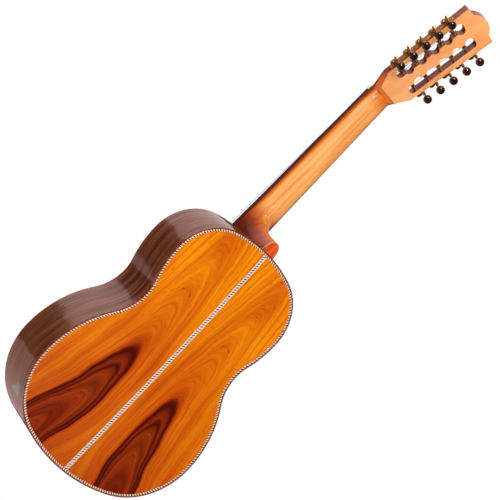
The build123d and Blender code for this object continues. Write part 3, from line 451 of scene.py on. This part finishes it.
# growth lines 1.4 mm apart, running from tail to neck
lengthwise = add(tree, "Mapping", {0: place, "Scale": (1.0, 1.0, 0.03)})
wave = add(tree, "TexWave", {
    "Vector": lengthwise, "Scale": 114.0, "Distortion": 1.6, "Detail": 2.0, "Detail Scale": 0.6},
    bands_direction="X")
lines = add(tree, "ValToRGB", {0: wave.outputs["Fac"]}, stops=(
    (0.0, "#e8c48a"), (0.55, "#e4bc7e"), (0.9, "#c8925a")))
silk_at = add(tree, "Mapping", {0: place, "Scale": (40.0, 40.0, 9.0)})
silk = add(tree, "TexNoise", {"Vector": silk_at, "Scale": 1.0, "Detail": 3.0})
silks = add(tree, "ValToRGB", {0: silk}, stops=((0.3, "#e6cba6"), (0.65, "#ffffff")))
wood = add(tree, "Mix", {0: 0.7, 6: lines, 7: silks}, data_type="RGBA", blend_type="MULTIPLY")
SATIN = {"Roughness": 0.4, "Specular IOR Level": 0.3, "Coat Weight": 0.6, "Coat Roughness": 0.08}
add(tree, "OutputMaterial", {"Surface": add(tree, "BsdfPrincipled", {**SATIN, "Base Color": wood})})
dress(spruce, "soundboard", "top_braces", "back_braces")

# Planed and left bare: matt, dusty pink-brown.
cedro, tree = bare_material("bare_cedro")
grain_at = add(tree, "Mapping", {
    0: add(tree, "TexCoord").outputs["Object"], "Scale": (160.0, 160.0, 12.0)})
grain = add(tree, "TexNoise", {"Vector": grain_at, "Scale": 1.0, "Detail": 4.0})
tint = add(tree, "ValToRGB", {0: grain}, stops=(
    (0.3, "#8e5a38"), (0.5, "#b47e54"), (0.7, "#c89468")))
add(tree, "OutputMaterial", {"Surface": add(tree, "BsdfPrincipled", {
    "Roughness": 0.7, "Specular IOR Level": 0.3, "Base Color": tint})})
dress(cedro, "head_block", "tail_block", "top_linings", "back_linings", "bridge_plate")


# ---- Rosette -------------------------------------------------------------------------------
# Rings of veneer round the soundhole: dark and light lines on both sides of a band of slanted
# rope tiles, let into the spruce and levelled with it, under the front's satin lacquer.
TILES_ROUND = 36
TILE_SLANT = 180.0          # how many tiles a metre further out would lean
BAND_R = 0.051
BAND_HALF_W = 0.0029

rosette, tree = bare_material("lacquered_veneer_rosette")
low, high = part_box("rosette")
hole_middle = (low + high) / 2
centred = add(tree, "Mapping", {
    0: add(tree, "TexCoord").outputs["Object"], "Location": tuple(-hole_middle)})
where = add(tree, "SeparateXYZ", {0: centred})
flat = add(tree, "CombineXYZ", {0: where.outputs[0], 2: where.outputs[2]})
radius = add(tree, "VectorMath", {0: flat}, operation="LENGTH")
angle = add(tree, "Math", {0: where.outputs[2], 1: where.outputs[0]}, operation="ARCTAN2")
lean = add(tree, "Math", {0: radius, 1: TILE_SLANT}, operation="MULTIPLY")
tile_count = add(tree, "Math", {0: angle, 1: TILES_ROUND / (2 * pi), 2: lean},
                 operation="MULTIPLY_ADD")
tiles = add(tree, "ValToRGB", {0: add(tree, "Math", {0: tile_count}, operation="FRACT")}, stops=(
    (0.0, "#e9c9a4"), (0.30, "#e9c9a4"), (0.34, "#241410"), (0.60, "#241410"),
    (0.64, "#8a2c1c"), (0.90, "#8a2c1c"), (0.94, "#e9c9a4")))
ring_share = add(tree, "Math", {0: radius, 1: 100.0, 2: -4.6}, operation="MULTIPLY_ADD")
rings = add(tree, "ValToRGB", {0: ring_share}, stops=(
    (0.0, "#1c100c"), (0.07, "#e9c9a4"), (0.13, "#1c100c"), (0.19, "#7a3a20"),
    (0.81, "#1c100c"), (0.87, "#e9c9a4"), (0.93, "#1c100c")))
rings.color_ramp.interpolation = "CONSTANT"
centre_band = add(tree, "Math", {0: radius, 1: BAND_R, 2: BAND_HALF_W}, operation="COMPARE")
pattern = add(tree, "Mix", {0: centre_band, 6: rings, 7: tiles}, data_type="RGBA")
add(tree, "OutputMaterial", {
    "Surface": add(tree, "BsdfPrincipled", {**SATIN, "Base Color": pattern})})
dress(rosette, "rosette")


# ---- Neck and head -------------------------------------------------------------------------
# One piece of pale cedro: the neck's round back is stained honey and darkened to brown towards the
# fretboard, nut and heel, partly by a sprayed sunburst and partly by painted shade; the flat back
# of the head is left pale, its edges dark red-brown.
HEAD_TILT = radians(17.5)
HEAD_BACK = Vector((0.0, 0.00426, -0.013925))     # on the flat back of the head, by the nut
OUT_OF_HEAD = Vector((0.0, cos(HEAD_TILT), -sin(HEAD_TILT)))
HEAD_FROM_Z = -0.006

neck_wood, tree = bare_material("shaded_lacquered_cedro")
place = add(tree, "TexCoord").outputs["Object"]
x, y, z = add(tree, "SeparateXYZ", {0: place}).outputs
grain_at = add(tree, "Mapping", {0: place, "Scale": (170.0, 170.0, 7.0)})
grain = add(tree, "TexNoise", {
    "Vector": grain_at, "Scale": 1.0, "Detail": 5.0, "Roughness": 0.6})
honey = add(tree, "ValToRGB", {0: grain}, stops=(
    (0.28, "#d88038"), (0.45, "#ee9c50"), (0.60, "#f8b066"), (0.75, "#ea9a4c")))
# shading, partly sprayed on by hand as a sunburst and partly painted shade where the round neck
# turns from the light;
# the heel's middle stays lighter than its sides, and the lower neck stays pale where the lamps'
# highlight falls, a painted highlight: from, to, least and most, by how near a point is to each
# edge
out = add(tree, "Math", {0: x}, operation="ABSOLUTE")
edge_shade, heel_shade, nut_shade, to_side = (
    add(tree, "MapRange", {0: at, 1: start, 2: end, 3: least, 4: most},
        interpolation_type="SMOOTHSTEP")
    for at, start, end, least, most in (
        (y, -0.0015, -0.0118, 0.0, 1.0),
        (z, -0.252, -0.308, 0.0, 1.0),
        (z, -0.045, -0.012, 0.0, 0.35),
        (out, 0.003, 0.018, 0.50, 1.0),
    )
)
heel_sides = add(tree, "Math", {0: heel_shade, 1: to_side}, operation="MULTIPLY")
darkest = add(tree, "Math", {0: edge_shade, 1: heel_sides}, operation="MAXIMUM")
with_nut = add(tree, "Math", {0: darkest, 1: nut_shade}, operation="ADD")
shade = add(tree, "Math", {0: with_nut, 1: 1.0}, operation="MINIMUM")
# colours for the sunburst and the painted shade together: browner as the share grows, white where
# neither falls
stain_and_painted_shade = add(tree, "ValToRGB", {0: shade}, stops=(
    (0.0, "#ffffff"), (0.35, "#e0aa72"), (0.75, "#a8602a"), (1.0, "#6a3212")))
honey_with_stain_and_painted_shade = add(tree, "Mix", {0: 1.0, 6: honey, 7: stain_and_painted_shade}, data_type="RGBA", blend_type="MULTIPLY")
# head: depth below its flat back, which tells the pale face from the dark walls; the walls' top
# 0.22 mm takes the pale colour too, a thin painted highlight along their edges
reach = add(tree, "VectorMath", {0: place, 1: tuple(OUT_OF_HEAD)}, operation="DOT_PRODUCT")
depth = add(tree, "Math", {0: reach, 1: HEAD_BACK.dot(OUT_OF_HEAD)}, operation="SUBTRACT")
on_face_and_painted_edge_highlight = add(tree, "Math", {0: depth, 1: 0.0, 2: 0.00022}, operation="COMPARE")
in_head = add(tree, "Math", {0: z, 1: HEAD_FROM_Z}, operation="GREATER_THAN")
face = add(tree, "Math", {0: on_face_and_painted_edge_highlight, 1: in_head}, operation="MULTIPLY")
pale_at = add(tree, "Mapping", {0: place, "Scale": (60.0, 60.0, 8.0)})
pale_grain = add(tree, "TexNoise", {"Vector": pale_at, "Scale": 1.0, "Detail": 4.0})
pale = add(tree, "ValToRGB", {0: pale_grain}, stops=(
    (0.3, "#ec9450"), (0.5, "#f6a464"), (0.7, "#fcb074")))
wall_at = add(tree, "Mapping", {0: place, "Scale": (90.0, 90.0, 14.0)})
wall_grain = add(tree, "TexNoise", {"Vector": wall_at, "Scale": 1.0, "Detail": 4.0})
wall = add(tree, "ValToRGB", {0: wall_grain}, stops=(
    (0.3, "#561a0c"), (0.5, "#7c2e1a"), (0.7, "#92402a")))
wall_part = add(tree, "MapRange", {0: z, 1: 0.004, 2: 0.020, 3: 0.0, 4: 1.0},
                interpolation_type="SMOOTHSTEP")
walled = add(tree, "Mix", {0: wall_part, 6: honey_with_stain_and_painted_shade, 7: wall}, data_type="RGBA")
headed = add(tree, "Mix", {0: face, 6: walled, 7: pale}, data_type="RGBA")
# the darker line, under a millimetre deep, where the round neck runs out into the flat
near_face = add(tree, "Math", {0: depth, 1: 0.0006, 2: 0.00038}, operation="COMPARE")
run_out = add(tree, "Math", {0: in_head, 1: near_face}, operation="MULTIPLY")
line_share = add(tree, "Math", {0: run_out, 1: 0.65}, operation="MULTIPLY")
lined = add(tree, "Mix", {0: line_share, 6: headed, 7: linear("#a8501c")}, data_type="RGBA")
# a coat rubbed a little softer than the body's, so lamps show on it as broad glints
add(tree, "OutputMaterial", {"Surface": add(tree, "BsdfPrincipled", {
    **LACQUER, "Coat Roughness": 0.05, "Base Color": lined})})
dress(neck_wood, "neck")

# A thin slice of bright cedar glued on the heel, glossy and redder than the back.
heel_cap_wood, tree = bare_material("lacquered_red_cedar_cap")
grain_at = add(tree, "Mapping", {
    0: add(tree, "TexCoord").outputs["Object"], "Scale": (200.0, 200.0, 40.0)})
grain = add(tree, "TexNoise", {"Vector": grain_at, "Scale": 1.0, "Detail": 4.0})
tint = add(tree, "ValToRGB", {0: grain}, stops=(
    (0.3, "#b83a08"), (0.5, "#d4500e"), (0.7, "#e06618")))
add(tree, "OutputMaterial", {"Surface": add(tree, "BsdfPrincipled", {
    **LACQUER, "Coat Weight": 0.9, "Base Color": tint})})
dress(heel_cap_wood, "heel_cap")

# White holly under the cap, yellowed pinkish by its lacquer.
holly, tree = bare_material("lacquered_holly_line")
grain = add(tree, "TexNoise", {
    "Vector": add(tree, "TexCoord").outputs["Object"], "Scale": 500.0, "Detail": 2.0})
tint = add(tree, "ValToRGB", {0: grain}, stops=((0.3, "#e8c4a8"), (0.7, "#f8dcc8")))
add(tree, "OutputMaterial", {
    "Surface": add(tree, "BsdfPrincipled", {**LACQUER, "Base Color": tint})})
dress(holly, "heel_cap_line")


# ---- Fretboard, frets, nut, bridge and saddle -----------------------------------------------
# Oiled blackwood fretboard and bridge with nickel-silver frets hammered in; bone nut and saddle
# held in their slots by the strings.
# Oil leaves open pores: nearly black, with brown streaks and a dull sheen.
blackwood, tree = bare_material("oiled_blackwood")
grain_at = add(tree, "Mapping", {
    0: add(tree, "TexCoord").outputs["Object"], "Scale": (300.0, 300.0, 16.0)})
grain = add(tree, "TexNoise", {"Vector": grain_at, "Scale": 1.0, "Detail": 4.0})
tint = add(tree, "ValToRGB", {0: grain}, stops=(
    (0.3, "#120a08"), (0.55, "#2c1a14"), (0.75, "#45281c")))
pits = add(tree, "Bump", {"Strength": 0.25, "Distance": 0.0002, "Height": grain})
add(tree, "OutputMaterial", {"Surface": add(tree, "BsdfPrincipled", {
    "Roughness": 0.45, "Specular IOR Level": 0.4, "Base Color": tint, "Normal": pits})})
dress(blackwood, "fretboard", "bridge")

# Drawn and polished wire: a warm grey mirror, clouded where fingers have been.
nickel, tree = bare_material("polished_nickel_silver")
smear = add(tree, "TexNoise", {
    "Vector": add(tree, "TexCoord").outputs["Object"], "Scale": 400.0, "Detail": 3.0})
tint = add(tree, "ValToRGB", {0: smear}, stops=((0.3, "#b8b4aa"), (0.7, "#d8d4cc")))
clouded = add(tree, "MapRange", {0: smear, 3: 0.16, 4: 0.34})
add(tree, "OutputMaterial", {"Surface": add(tree, "BsdfPrincipled", {
    "Metallic": 1.0, "Base Color": tint, "Roughness": clouded})})
dress(nickel, "frets")

# Sawn and polished: ivory white with faint yellow flecks along it.
bone, tree = bare_material("polished_bone")
speck_at = add(tree, "Mapping", {
    0: add(tree, "TexCoord").outputs["Object"], "Scale": (120.0, 600.0, 600.0)})
speck = add(tree, "TexNoise", {"Vector": speck_at, "Scale": 1.0, "Detail": 4.0})
tint = add(tree, "ValToRGB", {0: speck}, stops=((0.3, "#dccfae"), (0.6, "#f2e9d2")))
add(tree, "OutputMaterial", {"Surface": add(tree, "BsdfPrincipled", {
    "Roughness": 0.35, "Base Color": tint})})
dress(bone, "nut", "saddle")


# ---- Tuner hardware ------------------------------------------------------------------------
# Side plates with bearing lugs, worms, gears and rollers: brass, stamped or turned, screwed to
# the head. Polished bright where it is handled, and brown and duller in its corners.
SIDES = ("right", "left")
TUNERS = range(1, 6)

brass, tree = bare_material("aged_polished_brass")
tarnish = add(tree, "TexNoise", {
    "Vector": add(tree, "TexCoord").outputs["Object"], "Scale": 330.0, "Detail": 4.0,
    "Roughness": 0.65})
tint = add(tree, "ValToRGB", {0: tarnish}, stops=(
    (0.36, "#9a6230"), (0.48, "#dca464"), (0.66, "#ffdca4")))
dulled = add(tree, "MapRange", {0: tarnish, 1: 0.3, 2: 0.7, 3: 0.52, 4: 0.30})
add(tree, "OutputMaterial", {"Surface": add(tree, "BsdfPrincipled", {
    "Metallic": 1.0, "Base Color": tint, "Roughness": dulled})})
dress(brass, "tuner_plate_left", "tuner_plate_right", "plate_screws")
for side in SIDES:
    for number in TUNERS:
        dress(brass, f"tuner_{side}_{number}_roller", f"tuner_{side}_{number}_worm")


# ---- Buttons -------------------------------------------------------------------------------
# Turned buttons of very dark brown casein plastic pressed on the worms' spindles. Buffing gives
# them a wet mirror gloss over a faint brown marbling.
casein, tree = bare_material("buffed_dark_casein")
marble = add(tree, "TexNoise", {
    "Vector": add(tree, "TexCoord").outputs["Object"], "Scale": 170.0, "Detail": 4.0,
    "Distortion": 1.4})
tint = add(tree, "ValToRGB", {0: marble}, stops=(
    (0.35, "#120806"), (0.5, "#28120c"), (0.66, "#4c2214")))
add(tree, "OutputMaterial", {"Surface": add(tree, "BsdfPrincipled", {
    "Roughness": 0.12, "Specular IOR Level": 0.6, "Coat Weight": 1.0, "Coat Roughness": 0.02,
    "Base Color": tint})})
for side in SIDES:
    for number in TUNERS:
        dress(casein, f"tuner_{side}_{number}_button")


# ---- Strings -------------------------------------------------------------------------------
# Ten steel strings in five pairs, tied at the bridge, each ending in four close turns round its
# roller, which ride with it. Drawn wire: thin bright grey lines.
STRING_R = 0.0003
ROLLER_R = 0.0032
WOUND_AT = (0.0210, 0.0195, 0.0170, 0.0185, 0.0190)     # from the head's middle, by tuner
COIL_TURNS = 4
COIL_PITCH = 2.1 * STRING_R
STEPS_A_TURN = 20
PLACES = {joint["name"]: (Vector(joint["pos_m"]), Vector(joint["axis"]))
          for joint in frame["joints"]}

steel, tree = bare_material("drawn_string_steel")
shine = add(tree, "TexNoise", {
    "Vector": add(tree, "TexCoord").outputs["Object"], "Scale": 700.0, "Detail": 2.0})
tint = add(tree, "ValToRGB", {0: shine}, stops=((0.3, "#9c968c"), (0.7, "#d6d0c6")))
add(tree, "OutputMaterial", {"Surface": add(tree, "BsdfPrincipled", {
    "Metallic": 1.0, "Roughness": 0.3, "Base Color": tint})})
dress(steel, "strings")


def stand_on(mesh, place, axis):
    """Moves a bmesh made about the z axis to a place, with z along an axis."""
    turned = axis.to_track_quat("Z", "Y").to_matrix().to_4x4()
    bmesh.ops.transform(mesh, verts=mesh.verts, matrix=Matrix.Translation(place) @ turned)


def settle(mesh, name, material, body):
    """Turns a finished bmesh into a piece that rides on a body."""
    bmesh.ops.recalc_face_normals(mesh, faces=mesh.faces)
    data = bpy.data.meshes.new(name)
    mesh.to_mesh(data)
    mesh.free()
    data.materials.append(material)
    piece = bpy.data.objects.new(name, data)
    bpy.context.scene.collection.objects.link(piece)
    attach(piece, body)


for side in SIDES:
    for number, wound_at in zip(TUNERS, WOUND_AT):
        middle, axis = PLACES[f"wind_{side}_{number}"]
        coil = bmesh.new()
        start = Matrix.Translation((ROLLER_R + STRING_R, 0, -COIL_PITCH * COIL_TURNS / 2))
        wire = bmesh.ops.create_circle(
            coil, segments=8, radius=STRING_R, matrix=start @ Matrix.Rotation(pi / 2, 4, "X"))
        bmesh.ops.spin(
            coil, geom=wire["verts"] + coil.edges[:], cent=(0, 0, 0), axis=(0, 0, 1),
            dvec=(0, 0, COIL_PITCH / STEPS_A_TURN), angle=2 * pi * COIL_TURNS,
            steps=STEPS_A_TURN * COIL_TURNS)
        ends = [line for line in coil.edges if line.is_boundary]
        bmesh.ops.holes_fill(coil, edges=ends, sides=8)
        stand_on(coil, middle + axis * ((wound_at - abs(middle.x)) / abs(axis.x)), axis)
        settle(coil, f"winding_{side}_{number}", steel, f"roller_{side}_{number}")


# ---- Button ferrules -----------------------------------------------------------------------
# A small turned collar of the same brass seats each button on its spindle and turns with it.
# radius and height of each turn of its outline, from the bore round
FERRULE = ((0.0014, -0.0022), (0.0021, -0.0022), (0.0025, -0.0017), (0.0020, -0.0011),
           (0.0020, -0.0005), (0.0029, 0.0), (0.0029, 0.0005), (0.0014, 0.0005))
for side in SIDES:
    for number in TUNERS:
        middle, axis = PLACES[f"turn_{side}_{number}"]
        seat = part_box(f"tuner_{side}_{number}_worm")[1].y        # how far the spindle reaches
        collar = bmesh.new()
        outline = [collar.verts.new((radius, 0, height)) for radius, height in FERRULE]
        for a, b in zip(outline, outline[1:] + outline[:1]):
            collar.edges.new((a, b))
        bmesh.ops.spin(
            collar, geom=collar.verts[:] + collar.edges[:], cent=(0, 0, 0), axis=(0, 0, 1),
            angle=2 * pi, steps=24, use_merge=True)
        stand_on(collar, middle + axis * ((seat - middle.y) / axis.y), axis)
        settle(collar, f"ferrule_{side}_{number}", brass, f"button_{side}_{number}")


# ---- Fretboard marks -----------------------------------------------------------------------
# Round pearl marks glued into the blackwood between frets, two at the octave.
SCALE = 0.594               # nut to saddle
MARK_R = 0.0028
MARK_T = 0.0004
MARK_IN = 0.00015           # its middle lies this far below the wood's face
OCTAVE_OUT = 0.008
MARKS = ((5, 0.0), (7, 0.0), (10, 0.0), (12, -OCTAVE_OUT), (12, OCTAVE_OUT), (15, 0.0))
nut_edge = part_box("nut")[0].z
face_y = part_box("fretboard")[0].y

# Cut and polished shell: milky, with greenish and pinkish clouds under a soft gloss.
pearl, tree = bare_material("polished_pearl_shell")
cloud = add(tree, "TexNoise", {
    "Vector": add(tree, "TexCoord").outputs["Object"], "Scale": 420.0, "Detail": 3.0,
    "Distortion": 2.0})
tint = add(tree, "ValToRGB", {0: cloud}, stops=(
    (0.35, "#b8c0b8"), (0.5, "#ece4dc"), (0.65, "#f8f4ee")))
add(tree, "OutputMaterial", {"Surface": add(tree, "BsdfPrincipled", {
    "Roughness": 0.2, "Coat Weight": 0.5, "Coat Roughness": 0.05, "Base Color": tint})})

marks = bmesh.new()
for fret, across in MARKS:
    here, before = (nut_edge - SCALE * (1 - 2 ** (-count / 12)) for count in (fret, fret - 1))
    between = Matrix.Translation((across, face_y + MARK_IN, (here + before) / 2))
    bmesh.ops.create_cone(
        marks, cap_ends=True, segments=32, radius1=MARK_R, radius2=MARK_R, depth=MARK_T,
        matrix=between @ Matrix.Rotation(pi / 2, 4, "X"))
settle(marks, "pearl_marks", pearl, ROOT)
